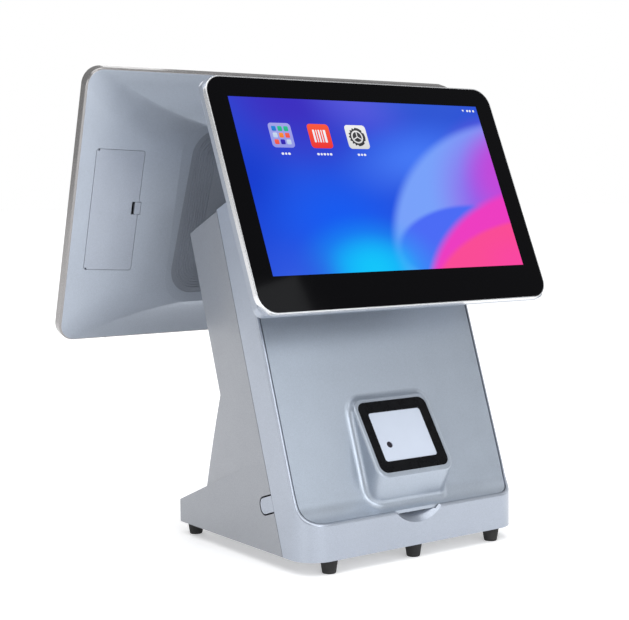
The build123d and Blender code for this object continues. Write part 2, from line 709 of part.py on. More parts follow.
def main_back():
    body = dome(0, 0) - dome(MAIN_SKIN, 2.2)
    # flat boss, a little set back, with fine grooves that follow its outline
    body -= boss_plate(0, BOSS_FACE)
    for i in range(GROOVES):
        inset = GROOVE_START + i * GROOVE_PITCH
        body -= boss_plate(inset, BOSS_FACE + GROOVE_DEPTH) - boss_plate(inset + GROOVE_W, 0)
    ledge = (dome(1.95, 1.9) - dome(4.2, 4)) & (door_prism(4) - door_prism(-3))
    body = body - door_prism(DOOR_GAP) + ledge
    body -= rod_y(DOOR_PIN_R + FIT_GAP, *door_pin_span(0.2))
    x = DOOR_X[0]
    body -= block((x - 2.4, x + 1), latch_span(0.4), (-40, -10))
    body -= block((x - 1, x + 8), latch_span(1), (-17.5, -5))
    for px, py in square(BOLT_SPACING, BRACKET_Y):
        body -= post(SCREW_HOLE_R, px, py, -40, -15)
    return MAIN * body


def door_pin_span(grow):
    reach = DOOR_GAP + DOOR_PIN_REACH + grow
    return DOOR_Y[0] - reach, DOOR_Y[1] + reach


def service_door():
    body = (dome(0, 0) - dome(1.8, 1.6)) & door_prism(0)
    body -= block((DOOR_AXIS[0], DOOR_X[1] + 1), (DOOR_Y[0] - 1, DOOR_Y[1] + 1), (-40, 0))
    ends = ((DOOR_Y[0] - 1, DOOR_Y[0] + DOOR_NOTCH), (DOOR_Y[1] - DOOR_NOTCH, DOOR_Y[1] + 1))
    for end in ends:
        body -= block((DOOR_AXIS[0] - DOOR_NOTCH, DOOR_X[1] + 1), end, (-40, 0))
    body += rod_y(DOOR_EDGE_R, DOOR_Y[0] + DOOR_NOTCH, DOOR_Y[1] - DOOR_NOTCH)
    body += rod_y(DOOR_PIN_R, *door_pin_span(0))
    x = DOOR_X[0]
    body -= block((x - 1, x + 3.6 + LATCH_SLOT), latch_span(0.3), (-40, 0))
    return MAIN * body


def door_latch():
    x = DOOR_X[0]
    skin = dome(-0.25, 0) - dome(2.0, 1.6)
    return MAIN * (skin & block((x - 1.9, x + 3.3), latch_span(0), (-40, 0)))


def mainboard():
    board = plate(170, 66, 2, -10, -11.6, 0, 58)
    for x, y, w, h in ((-60, 72, 14, 14), (50, 74, 20, 10), (-38, 42, 10, 18), (58, 42, 12, 12)):
        board += block((x - w / 2, x + w / 2), (y - h / 2, y + h / 2), (-13.2, -11.6))
    return MAIN * board


def heat_sink():
    base = block((-25, 25), (30, 76), (-13.4, -11.6))
    fins = [block((x - 0.6, x + 0.6), (31, 75), (-18.2, -13.4)) for x in range(-22, 24, 4)]
    for fin in fins:
        base += fin
    return MAIN * base


def drive_module():
    return MAIN * block((146, 168), (-40, 40), (-9.8, -7.4))


def drive_socket():
    return MAIN * block((150, 164), (40.3, 46), (-10.2, -6.7))


def speakers():
    box = fillet(block((88, 132), (-100, -84), (-11, -6.8)).edges(), 1)
    return [MAIN * one for one in mirrored(box)]


def main_hinge_bracket():
    axis = in_frame(MAIN, MAIN_AXIS)
    body = plate(96, 96, 7, BOSS_FACE, BOSS_FACE - SHEET, 0, BRACKET_Y)
    for x, y in square(BOLT_SPACING, BRACKET_Y):
        body -= post(SCREW_HOLE_R, x, y, -40, -10)
    for middle in (-29.4, 29.4):
        body += ear(middle, 7.2, BOSS_FACE - SHEET, axis, MAIN_EYE_R, MAIN_PIN_R, 20)
    return MAIN * body


def power_button():
    x, y, z = BUTTON_AT
    cap = Pos(x, y + 2.8, z) * Rot(90, 0, 0) * Cylinder(BUTTON_R, 6.4)
    cap = fillet(cap.edges().sort_by(Axis.Y)[0], 0.5)
    flange = Pos(x, y + 6.5, z) * Rot(90, 0, 0) * Cylinder(BUTTON_R + 1.0, 1.0)
    return MAIN * (cap + flange)


def power_switch():
    x, y, z = BUTTON_AT
    return MAIN * block((x - 3, x + 3), (y + 8.2, y + 10.6), (z - 2.6, z + 2.6))


# ---- assembly ------------------------------------------------------------------------------
def grouped(shapes):
    return Compound([solid for shape in shapes for solid in shape.solids()])


def stand_parts():
    tabs = mirrored(release_tab())
    return {
        "rear_shell": rear_shell(),
        "front_frame": front_frame(),
        "base_plate": base_plate(),
        "rubber_feet": grouped(rubber_feet()),
        "base_screws": grouped(base_screws()),
        "ballast_plate": block((-70, 70), (20, 120), (PLATE_Z[1], BALLAST_TOP)),
        "support_frame": support_frame(),
        "left_release_tab": tabs[0],
        "right_release_tab": tabs[1],
        "io_board": io_board(),
        "usb_sockets": grouped(usb_sockets()),
        "network_socket": socket(LAN_X, 15.5, 12.6, 16, 1.0, 0),
        "power_socket": power_socket(),
        "io_face_plate": io_face_plate(),
    }


def hinge_parts():
    main_spans, guest_spans = [(23.1, 25.7), (33.1, 34.9)], [(19.1, 21.7), (27.9, 29.4)]
    return {
        "main_hinge_arm": hinge_arm(MAIN_AXIS, MAIN_EYE_R, MAIN_PIN_R, 23, MAIN_ARM_ROOT, (112, 117)),
        "main_hinge_pin": hinge_pin(MAIN_AXIS, MAIN_PIN_R, 41),
        "main_friction_washers": grouped(washers(MAIN_AXIS, 8.5, MAIN_PIN_R, main_spans)),
        "main_hinge_nuts": grouped(hex_nuts(MAIN_AXIS, 13, MAIN_PIN_R, 35, 40)),
        "customer_hinge_arm": hinge_arm(
            GUEST_AXIS, GUEST_EYE_R, GUEST_PIN_R, 19, GUEST_ARM_ROOT, (99, 103)),
        "customer_hinge_pin": hinge_pin(GUEST_AXIS, GUEST_PIN_R, 35),
        "customer_friction_washers": grouped(washers(GUEST_AXIS, 7.5, GUEST_PIN_R, guest_spans)),
        "customer_hinge_nuts": grouped(hex_nuts(GUEST_AXIS, 11, GUEST_PIN_R, 29.5, 34)),
    }


def cover_parts():
    return {
        "front_cover": front_cover(),
        "scanner_bezel": scanner_bezel(),
        "scanner_window": scanner_window(),
        "scanner_lens": scanner_lens(),
        "scanner_camera": scanner_camera(),
        "scanner_board": scanner_board(),
        "scanner_lights": grouped(scanner_lights()),
    }


def customer_parts():
    return {
        "customer_glass": guest_glass(),
        "customer_trim": guest_trim(),
        "customer_lcd": guest_panel(),
        "customer_chassis": guest_chassis(),
        "customer_driver_board": guest_board(),
        "customer_back_shell": guest_back(),
        "customer_hinge_bracket": guest_hinge_bracket(),
        "customer_bracket_screws": grouped(
            pan_screws(GUEST, square(BOLT_SPACING, GUEST_BOSS_Y), -GUEST_BULGE - SHEET, -17)),
    }


def main_parts():
    screws = pan_screws(MAIN, square(BOLT_SPACING, BRACKET_Y), BOSS_FACE - SHEET, -15)
    return {
        "main_glass": main_glass(),
        "main_rim": main_rim(),
        "main_lcd": main_panel(),
        "main_chassis": main_chassis(),
        "main_back_cover": main_back(),
        "service_door": service_door(),
        "door_latch": door_latch(),
        "mainboard": mainboard(),
        "heat_sink": heat_sink(),
        "drive_module": drive_module(),
        "drive_socket": drive_socket(),
        "speakers": grouped(speakers()),
        "main_hinge_bracket": main_hinge_bracket(),
        "main_bracket_screws": grouped(screws),
        "power_button": power_button(),
        "power_switch": power_switch(),
    }


def main():
    for group in (stand_parts, hinge_parts, cover_parts, customer_parts, main_parts):
        PARTS.update(group())
    os.makedirs("parts", exist_ok=True)
    for name, shape in PARTS.items():
        export_step(Pos(0, -CENTRE_Y, 0) * shape, f"parts/{name}.step")
    box = Compound([s for shape in PARTS.values() for s in shape.solids()]).bounding_box()
    print("nodes", len(PARTS), "box", box.min, box.max, "middle y", (box.min.Y + box.max.Y) / 2)


main()
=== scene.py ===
import json
from math import cos, pi, radians, sin

import bmesh
import bpy
from mathutils import Matrix, Vector


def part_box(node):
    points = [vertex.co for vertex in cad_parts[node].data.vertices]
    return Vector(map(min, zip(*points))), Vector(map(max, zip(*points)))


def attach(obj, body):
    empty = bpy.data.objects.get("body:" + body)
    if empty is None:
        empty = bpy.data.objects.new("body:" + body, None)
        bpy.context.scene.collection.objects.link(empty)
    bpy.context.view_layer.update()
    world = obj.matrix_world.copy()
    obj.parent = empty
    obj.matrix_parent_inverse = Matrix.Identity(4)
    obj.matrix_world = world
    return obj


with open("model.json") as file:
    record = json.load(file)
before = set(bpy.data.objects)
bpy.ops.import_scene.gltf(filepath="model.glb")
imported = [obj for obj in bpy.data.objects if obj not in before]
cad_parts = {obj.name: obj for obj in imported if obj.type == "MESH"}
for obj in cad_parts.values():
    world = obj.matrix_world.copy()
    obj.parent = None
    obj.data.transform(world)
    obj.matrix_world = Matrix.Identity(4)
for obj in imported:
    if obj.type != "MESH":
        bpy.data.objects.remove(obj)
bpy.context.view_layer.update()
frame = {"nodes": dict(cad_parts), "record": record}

# Looks of the two-screen shop terminal. Metres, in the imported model's own frame: the customer is on
# the -Y side and the cashier on the +Y side.

nodes = frame["nodes"]

# ---- camera --------------------------------------------------------------------------------
CAMERA_AT = (-0.7014, -0.96525, 0.28435)
CAMERA_YAW = 35.62        # degrees from +Y towards +X
CAMERA_PITCH = 4.39       # downwards
CAMERA_ROLL = 0.61
CAMERA_LENS = 78.78
SENSOR = 36.0

# ---- displays ------------------------------------------------------------------------------
CUSTOMER_TILT = 23.5
CUSTOMER_GLASS = 0.0018   # thickness
CUSTOMER_PICTURE = (0.2575, 0.1500)
CUSTOMER_RISE = 0.0060    # middle of the picture above the middle of the glass
CASHIER_TILT = 17.0
CASHIER_GLASS = 0.0020
CASHIER_PICTURE = (0.3442, 0.1960)
PICTURE_LIFT = 0.00008    # the picture lies this far in front of the glass
ICON_LIFT = 0.00004       # and each layer on it this much further
ICON = 0.0214             # side of an icon
ICON_CORNER = 0.15        # as a share of its side
ICON_PLACES = (-0.0878, -0.0504, -0.0130)
ICON_HEIGHT = 0.0424
LABEL_DROP = 0.0160
LABEL_MARKS = (3, 5, 3)   # small marks under each icon
MARK = 0.0019
MARK_PITCH = 0.0031
WIDE_MARK = 1.25          # every other mark is this much wider
STATUS_DROP = 0.0046      # the status marks' middle below the picture's top edge
STATUS_MARK = 0.0020
STATUS_CORNER = 0.0005
STATUS_PLACES = (0.0115, 0.0085, 0.0045)   # inwards from the picture's right edge
WEDGE_PLACE = 0.0165
WEDGE = ((-0.0012, 0.0010), (0.0, -0.0012), (0.0012, 0.0010))
SCREEN_LIGHT = 0.95       # emission strength of all that a screen shows

# ---- grooved boss on the back of the main display, where shade is painted --------------------
BOSS_MIDDLE = (0.0, 0.07266, 0.27868)
BOSS_HALF = (0.0985, 0.07435)
BOSS_CORNER = 0.024
BOSS_LEAN = 0.0538        # the sides lean out towards the lower end
BOSS_BLUR = 0.0004        # over which the painted shade fades out at the edge

# ---- stage ---------------------------------------------------------------------------------
FLOOR_RADIUS = 90.0
WORLD_LIGHT = 0.32        # as the object sees it; the camera sees plain white
CEILING_LIGHT = 2.1
CEILING_SPREAD = 70       # degrees
CEILING_TURN = (8, -6, 0)
LIGHTS_AIM = (0, 0, 0.2)
PLAIN_WHITE = (1.0, 1.0, 1.0)
COOL_WHITE = (0.96, 0.98, 1.0)
COOLER_WHITE = (0.94, 0.97, 1.0)
SOFTBOXES = [             # name, place, width and height, watts, colour
    ("left", (-1.8, -0.4, 0.45), (0.8, 0.7), 3.5, PLAIN_WHITE),
    ("front", (-0.5, -2.3, 1.0), (1.2, 1.0), 15, COOL_WHITE),
    ("front right", (0.75, -1.85, 1.05), (1.1, 1.0), 5, COOLER_WHITE),
    ("right", (1.9, -0.2, 0.8), (1.0, 1.4), 4, PLAIN_WHITE),
    ("back", (0.3, 2.2, 0.9), (1.6, 1.2), 10, PLAIN_WHITE),
]


# ---- node helpers --------------------------------------------------------------------------
class Tree:
    """A small builder for one material's nodes."""

    def __init__(self, name):
        self.material = bpy.data.materials.new(name)
        self.material.use_nodes = True
        self.tree = self.material.node_tree
        self.shader = self.tree.nodes["Principled BSDF"]

    def add(self, kind, inputs=None, **settings):
        node = self.tree.nodes.new(kind)
        for key, value in settings.items():
            setattr(node, key, value)
        for key, value in (inputs or {}).items():
            self.feed(node.inputs[key], value)
        return node

    def feed(self, socket, value):
        if isinstance(value, bpy.types.NodeSocket):
            self.tree.links.new(value, socket)
        else:
            socket.default_value = value

    def set(self, **inputs):
        for key, value in inputs.items():
            self.feed(self.shader.inputs[key.replace("_", " ")], value)

    def coordinate(self):
        return self.add("ShaderNodeTexCoord").outputs["Object"]

    def uv(self):
        return self.add("ShaderNodeTexCoord").outputs["UV"]

    def noise(self, scale, detail=2.0, roughness=0.5, vector=None):
        vector = vector or self.coordinate()
        inputs = {"Vector": vector, "Scale": scale, "Detail": detail, "Roughness": roughness}
        return self.add("ShaderNodeTexNoise", inputs).outputs["Fac"]

    def cells(self, scale):
        return self.add("ShaderNodeTexVoronoi", {"Vector": self.coordinate(), "Scale": scale})

    def ramp(self, value, low, high, to_low=0.0, to_high=1.0, smooth=False):
        inputs = {
            "Value": value, "From Min": low, "From Max": high, "To Min": to_low, "To Max": to_high}
        kind = "SMOOTHSTEP" if smooth else "LINEAR"
        return self.add("ShaderNodeMapRange", inputs, interpolation_type=kind).outputs["Result"]

    def mix(self, factor, first, second, mode="MIX"):
        node = self.add("ShaderNodeMix", data_type="RGBA", blend_type=mode)
        self.feed(node.inputs["Factor"], factor)
        self.feed(node.inputs[6], first)
        self.feed(node.inputs[7], second)
        return node.outputs[2]

    def shaded(self, colour, shade):
        """A colour made lighter or darker by a factor that varies over the surface."""
        grey = self.add("ShaderNodeCombineColor", {"Red": shade, "Green": shade, "Blue": shade})
        return self.mix(1.0, colour, grey.outputs["Color"], "MULTIPLY")

    def math(self, operation, first, second=0.0):
        node = self.add("ShaderNodeMath", operation=operation)
        self.feed(node.inputs[0], first)
        self.feed(node.inputs[1], second)
        return node.outputs[0]

    def bump(self, height, strength, distance):
        inputs = {"Height": height, "Strength": strength, "Distance": distance}
        return self.add("ShaderNodeBump", inputs).outputs["Normal"]


def srgb(r, g, b):
    """A colour given in 0 to 255 display values, as the linear values that shaders take."""
    shares = (r / 255, g / 255, b / 255)
    linear = [c / 12.92 if c <= 0.04045 else ((c + 0.055) / 1.055) ** 2.4 for c in shares]
    return (*linear, 1.0)


# painted shade: the darker colour laid over the recessed, grooved boss
PAINTED_BOSS_SHADE = srgb(146, 152, 162)


# ---- materials -----------------------------------------------------------------------------
def painted_boss_shade_mask(t):
    """Where the painted shade of the grooved boss lies: 1 on the boss of the main display's back, 0 off
    it; a rounded trapezium.
    """
    turn = (radians(CASHIER_TILT), 0, 0)
    place = t.add("ShaderNodeMapping", {
        "Vector": t.coordinate(), "Location": BOSS_MIDDLE, "Rotation": turn}, vector_type="TEXTURE")
    x, _, z = t.add("ShaderNodeSeparateXYZ", {"Vector": place.outputs["Vector"]}).outputs
    # how far beyond the middles of the corner arcs a point lies, each way
    half = t.math("SUBTRACT", BOSS_HALF[0] - BOSS_CORNER, t.math("MULTIPLY", z, BOSS_LEAN))
    side = t.math("MAXIMUM", t.math("SUBTRACT", t.math("ABSOLUTE", x), half))
    end = t.math("MAXIMUM", t.math("SUBTRACT", t.math("ABSOLUTE", z), BOSS_HALF[1] - BOSS_CORNER))
    reach = t.math("SQRT", t.math("ADD", t.math("MULTIPLY", side, side), t.math("MULTIPLY", end, end)))
    return t.ramp(reach, BOSS_CORNER, BOSS_CORNER - BOSS_BLUR)


def metallic_paint(name, colour, metallic=0.70, roughness=0.34, boss_shade=False):
    """Silver lacquer on moulded plastic: fine metal flake under a thin satin coat. With boss, painted
    shade darkens the main display's recessed, grooved boss."""
    t = Tree(name)
    # painted shade over the main display's grooved boss
    if boss_shade:
        colour = t.mix(painted_boss_shade_mask(t), colour, PAINTED_BOSS_SHADE)
    flake = t.cells(2600.0)
    sparkle = t.ramp(flake.outputs["Color"], 0.0, 1.0, 0.90, 1.10)
    cloud = t.ramp(t.noise(9.0, 3.0), 0.3, 0.7, 0.965, 1.035)
    shade = t.math("MULTIPLY", sparkle, cloud)
    base = t.shaded(colour, shade)
    skin = t.noise(1500.0, 2.0)
    t.set(
        Base_Color=base, Metallic=metallic, Coat_Weight=0.20, Coat_Roughness=0.22,
        Roughness=t.ramp(t.noise(60.0, 4.0), 0.3, 0.7, roughness - 0.03, roughness + 0.04),
        Normal=t.bump(skin, 0.10, 0.0001),
    )
    return t.material


def bright_trim(name, colour):
    t = Tree(name)
    t.set(
        Base_Color=colour, Metallic=0.75, Coat_Weight=0.3, Coat_Roughness=0.1,
        Roughness=t.ramp(t.noise(90.0, 3.0), 0.3, 0.7, 0.20, 0.27),
        Normal=t.bump(t.noise(1800.0, 2.0), 0.06, 0.0001),
    )
    return t.material


def black_glass(name):
    """Touch glass over black ink, with a trace of fingertip haze."""
    t = Tree(name)
    haze = t.ramp(t.noise(14.0, 5.0, 0.6), 0.45, 0.75, 0.045, 0.085, smooth=True)
    t.set(Base_Color=srgb(3, 3, 5), Roughness=haze, IOR=1.45, Specular_IOR_Level=0.14)
    return t.material


def black_plastic(name):
    t = Tree(name)
    t.set(
        Base_Color=t.mix(t.noise(220.0, 3.0), srgb(4, 5, 8), srgb(8, 9, 13)), Specular_IOR_Level=0.16,
        Roughness=t.ramp(t.noise(120.0, 3.0), 0.3, 0.7, 0.23, 0.34),
        Normal=t.bump(t.noise(2500.0, 2.0), 0.12, 0.0001),
    )
    return t.material


def rubber(name):
    t = Tree(name)
    dust = t.ramp(t.noise(70.0, 4.0), 0.5, 0.8)
    t.set(
        Base_Color=t.mix(dust, srgb(22, 22, 23), srgb(46, 45, 44)), Roughness=0.72,
        Normal=t.bump(t.noise(900.0, 3.0), 0.35, 0.0002),
    )
    return t.material


def sheet_steel(name):
    """Zinc-plated sheet, with the spangle of the plating."""
    t = Tree(name)
    spangle = t.cells(130.0)
    tone = t.ramp(spangle.outputs["Distance"], 0.0, 0.8, 0.88, 1.06)
    t.set(
        Base_Color=t.shaded(srgb(176, 178, 182), tone), Metallic=0.95,
        Roughness=t.ramp(t.noise(40.0, 4.0), 0.3, 0.7, 0.32, 0.46),
        Normal=t.bump(t.noise(700.0, 2.0), 0.08, 0.0001),
    )
    return t.material


def cast_metal(name):
    t = Tree(name)
    t.set(
        Base_Color=t.mix(t.noise(30.0, 4.0), srgb(132, 134, 138), srgb(158, 160, 163)),
        Metallic=0.85, Roughness=0.48, Normal=t.bump(t.noise(650.0, 4.0, 0.6), 0.4, 0.0002),
    )
    return t.material


def turned_steel(name, roughness=0.22):
    """Ground or turned steel, its marks running round the X axis."""
    t = Tree(name)
    stretched = t.add("ShaderNodeMapping", {"Vector": t.coordinate(), "Scale": (9000.0, 60.0, 60.0)})
    marks = t.noise(1.0, 3.0, 0.5, stretched.outputs["Vector"])
    t.set(
        Base_Color=srgb(196, 197, 200), Metallic=1.0,
        Roughness=t.ramp(marks, 0.3, 0.7, roughness - 0.05, roughness + 0.08),
        Normal=t.bump(marks, 0.08, 0.0001),
    )
    return t.material


def circuit_board(name):
    """Solder mask with the faint relief of the tracks under it."""
    t = Tree(name)
    tracks = t.add("ShaderNodeTexBrick", {
        "Vector": t.coordinate(), "Scale": 240.0, "Mortar Size": 0.03, "Bias": 0.0,
        "Color1": srgb(8, 74, 44), "Color2": srgb(12, 92, 54), "Mortar": srgb(30, 120, 72)})
    t.set(
        Base_Color=tracks.outputs["Color"], Roughness=0.34, Coat_Weight=0.4, Coat_Roughness=0.15,
        Normal=t.bump(tracks.outputs["Fac"], 0.15, 0.0001),
    )
    return t.material


def diffuser(name):
    """Milky scanner window, with a faint painted glow for the light it catches."""
    t = Tree(name)
    # painted light: the window itself glows faintly in a mottled cool white
    painted_glow = t.ramp(t.noise(45.0, 2.0), 0.3, 0.7, 0.10, 0.13)
    t.set(
        Base_Color=srgb(188, 196, 210), Coat_Weight=0.5, Coat_Roughness=0.08,
        Roughness=t.ramp(t.noise(160.0, 3.0), 0.3, 0.7, 0.16, 0.24),
        Emission_Color=srgb(205, 216, 234), Emission_Strength=painted_glow,
    )
    return t.material


def lens_glass(name):
    t = Tree(name)
    # painted sheen: the base colour turns paler violet where the lens is seen edge-on, standing in for
    # the coating's reflection
    grazing_sheen = t.add("ShaderNodeLayerWeight", {"Blend": 0.35}).outputs["Facing"]
    t.set(
        Base_Color=t.mix(grazing_sheen, srgb(14, 12, 22), srgb(52, 46, 70)), Roughness=0.05,
        Coat_Weight=1.0, Coat_Roughness=0.02,
    )
    return t.material


def light_chip(name):
    t = Tree(name)
    t.set(
        Base_Color=t.mix(t.noise(600.0), srgb(240, 226, 150), srgb(250, 244, 214)), Roughness=0.3,
        Emission_Color=srgb(255, 248, 226), Emission_Strength=0.6,
    )
    return t.material


def lcd_panel(name):
    t = Tree(name)
    t.set(
        Base_Color=t.mix(t.noise(25.0, 3.0), srgb(150, 152, 156), srgb(172, 174, 177)),
        Metallic=0.9, Roughness=0.4, Normal=t.bump(t.noise(500.0), 0.05, 0.0001),
    )
    return t.material


# The wallpaper's soft fields of colour, each laid over those before it: colour, middle and radii in
# shares of the picture, softness of the edge, turn in degrees, strength.
WALLPAPER_GROUND = (34, 78, 222)
WALLPAPER_FIELDS = [
    ((58, 44, 196), (0.22, 1.02), (0.40, 0.55), 0.9, 0, 1.0),
    ((92, 92, 226), (0.52, 1.10), (0.30, 0.42), 0.8, 0, 0.8),
    ((46, 88, 214), (0.80, 1.08), (0.36, 0.45), 0.8, 0, 0.8),
    ((2, 52, 205), (0.00, 0.50), (0.22, 0.50), 1.0, 0, 0.8),
    ((4, 92, 246), (0.30, 0.30), (0.42, 0.42), 1.0, 0, 0.9),
    ((72, 128, 255), (0.66, 0.66), (0.40, 0.26), 1.0, 28, 0.8),
    # the broad violet sweep and what lies inside it
    ((122, 164, 255), (1.15, 0.00), (0.70, 0.93), 0.07, 0, 1.0),
    ((150, 96, 238), (1.10, 0.35), (0.44, 0.66), 0.55, 0, 1.0),
    ((196, 72, 222), (1.16, 0.52), (0.34, 0.44), 0.50, 0, 1.0),
    ((74, 108, 250), (0.76, 0.16), (0.30, 0.21), 0.16, 24, 1.0),
    ((110, 110, 244), (0.88, 0.06), (0.30, 0.24), 0.60, 20, 1.0),
    # cyan glow low in the middle
    ((0, 168, 255), (0.38, 0.00), (0.32, 0.36), 0.9, 0, 1.0),
    ((0, 200, 255), (0.38, 0.02), (0.20, 0.22), 1.0, 0, 1.0),
    ((44, 92, 232), (0.10, -0.04), (0.20, 0.30), 1.0, 0, 0.7),
    # pink sweeps in the corner
    ((242, 58, 196), (1.20, -0.36), (0.68, 0.86), 0.07, 0, 1.0),
    ((255, 74, 152), (1.16, -0.30), (0.62, 0.60), 0.06, 0, 1.0),
    ((255, 66, 170), (1.00, 0.02), (0.22, 0.20), 0.9, 0, 0.6),
]


def wallpaper(name):
    """The picture on a display: sweeping soft-edged fields of colour, as light."""
    t = Tree(name)
    uv = t.uv()

    def inside(middle, radii, edge, turn):
        """How far a point lies inside an ellipse, its edge softened over a share of its radius."""
        place = t.add("ShaderNodeMapping", {
            "Vector": uv, "Location": (*middle, 0), "Rotation": (0, 0, radians(turn)),
            "Scale": (*radii, 1)}, vector_type="TEXTURE")
        vector = place.outputs["Vector"]
        ball = t.add("ShaderNodeTexGradient", {"Vector": vector}, gradient_type="SPHERICAL")
        return t.ramp(ball.outputs["Fac"], 0.0, edge, smooth=True)

    picture = srgb(*WALLPAPER_GROUND)
    for colour, middle, radii, edge, turn, strength in WALLPAPER_FIELDS:
        amount = t.math("MULTIPLY", inside(middle, radii, edge, turn), strength)
        picture = t.mix(amount, picture, srgb(*colour))
    t.set(
        Base_Color=srgb(6, 6, 9), Roughness=0.07, Specular_IOR_Level=0.14,
        Emission_Color=picture, Emission_Strength=SCREEN_LIGHT,
    )
    return t.material


def lit_colour(name, top, bottom):
    """A lit part of a picture, shaded slightly from its top to its bottom."""
    t = Tree(name)
    height = t.add("ShaderNodeSeparateXYZ", {"Vector": t.uv()}).outputs["Y"]
    t.set(
        Base_Color=srgb(6, 6, 9), Roughness=0.07, Specular_IOR_Level=0.14,
        Emission_Color=t.mix(height, srgb(*bottom), srgb(*top)), Emission_Strength=SCREEN_LIGHT,
    )
    return t.material


def floor_paint(name):
    t = Tree(name)
    t.set(
        Base_Color=t.mix(t.noise(3.0, 4.0), srgb(238, 238, 239), srgb(242, 242, 242)),
        Roughness=0.55, Specular_IOR_Level=0.1,
        Normal=t.bump(t.noise(120.0, 4.0), 0.03, 0.0005),
        Emission_Color=srgb(255, 255, 255), Emission_Strength=0.34,
    )
    return t.material


SLOT_MATERIALS = {
    "silver_paint": metallic_paint("silver_lacquer", srgb(168, 175, 187)),
    "silver_cover": metallic_paint("cool_silver_lacquer", srgb(163, 173, 189)),
    "bright_trim": bright_trim("bright_silver_trim", srgb(226, 227, 229)),
    "black_glass": black_glass("touch_glass"),
    "panel": lcd_panel("display_module_back"),
    "sheet_steel": sheet_steel("zinc_plated_sheet"),
    "cast_arm": cast_metal("cast_aluminium"),
    "pin_steel": turned_steel("ground_steel"),
    "screw_steel": turned_steel("nickel_plated_steel", 0.18),
    "rubber": rubber("moulded_rubber"),
    "circuit_board": circuit_board("green_circuit_board"),
    "socket_metal": turned_steel("socket_plating", 0.26),
    "black_plastic": black_plastic("black_moulding"),
    "diffuser": diffuser("milky_window_painted_glow"),
    "lens": lens_glass("coated_lens"),
    "heat_sink": cast_metal("extruded_aluminium"),
    "led": light_chip("white_light_chip"),
}
# pieces whose lacquer differs from the rest of their slot: lighter or darker copies that paint light or
# shade
NODE_MATERIALS = {
    # the rear shell: the silver made darker, painted shade on the side turned from the light
    "rear_shell": metallic_paint("silver_lacquer_painted_shade", srgb(150, 153, 159), 0.66),
    # the front cover: the silver made paler, painted light on the face turned to the lamps
    "front_cover": metallic_paint("silver_lacquer_painted_light", srgb(170, 179, 191), 0.60, 0.35),
    # the main back cover: silver lacquer with painted shade over its grooved boss
    "main_back_cover": metallic_paint(
        "dome_silver_lacquer", srgb(170, 178, 190), 0.62, 0.36, boss_shade=True),
    # the main display's rim: the bright trim made dark grey, a painted reflection of dark surroundings
    "main_rim": bright_trim("trim_painted_dark_reflection", srgb(150, 148, 148)),
}


def dress_cad_nodes():
    for part in frame["record"]["subparts"]:
        material = NODE_MATERIALS.get(part["node"], SLOT_MATERIALS[part["material_slot"]])
        for place in nodes[part["node"]].material_slots:
            place.material = material


# ---- flat shapes ---------------------------------------------------------------------------
def rounded(width, height, corner, steps=6):
    """The outline of a rounded rectangle, anticlockwise."""
    points = []
    for turn, sx, sy in ((0, 1, 1), (90, -1, 1), (180, -1, -1), (270, 1, -1)):
        for i in range(steps + 1):
            a = radians(turn + 90 * i / steps)
            x = sx * (width / 2 - corner) + corner * cos(a)
            y = sy * (height / 2 - corner) + corner * sin(a)
            points.append((x, y))
    return points


def gear_outline(radius, depth, teeth):
    """A cog's outline with square-topped teeth."""
    points = []
    for i in range(teeth * 4):
        a = 2 * pi * (i - 0.5) / (teeth * 4)
        r = radius if i % 4 in (0, 1) else radius - depth
        points.append((r * cos(a), r * sin(a)))
    return points


def circle(radius, steps=40):
    turns = [2 * pi * i / steps for i in range(steps)]
    return [(radius * cos(a), radius * sin(a)) for a in turns]


def bar(left, right, low, high):
    """The outline of a plain rectangle."""
    return [(left, low), (right, low), (right, high), (left, high)]


def moved(points, x, y):
    return [(px + x, py + y) for px, py in points]


class Picture:
    """Flat shapes on the front of one display, in layers, each in its own material. The glass is
    the node they lie on; toward is 1 when it faces +Y and -1 when it faces -Y."""

    def __init__(self, name, glass, tilt, toward, thickness, rise):
        low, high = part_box(glass)
        t = radians(tilt)
        right = Vector((-toward, 0, 0))
        out = Vector((0, toward * cos(t), sin(t)))
        up = out.cross(right)
        origin = (low + high) / 2 + out * (thickness / 2 + PICTURE_LIFT) + up * rise
        self.place = Matrix.Translation(origin) @ Matrix((right, up, out)).transposed().to_4x4()
        self.name = name
        self.mesh = bmesh.new()
        self.uv = self.mesh.loops.layers.uv.new("UVMap")
        self.materials = []

    def shape(self, outline, layer, material):
        """One filled outline; its UVs run from 0 to 1 over its own box."""
        if material not in self.materials:
            self.materials.append(material)
        xs, ys = [p[0] for p in outline], [p[1] for p in outline]
        face = self.mesh.faces.new([self.mesh.verts.new((x, y, layer * ICON_LIFT)) for x, y in outline])
        face.material_index = self.materials.index(material)
        for loop in face.loops:
            u = (loop.vert.co.x - min(xs)) / (max(xs) - min(xs))
            v = (loop.vert.co.y - min(ys)) / (max(ys) - min(ys))
            loop[self.uv].uv = (u, v)

    def finish(self, body):
        bmesh.ops.triangulate(self.mesh, faces=self.mesh.faces[:])
        data = bpy.data.meshes.new(self.name)
        self.mesh.to_mesh(data)
        self.mesh.free()
        data.transform(self.place)
        piece = bpy.data.objects.new(self.name, data)
        bpy.context.scene.collection.objects.link(piece)
        for material in self.materials:
            data.materials.append(material)
        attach(piece, body)


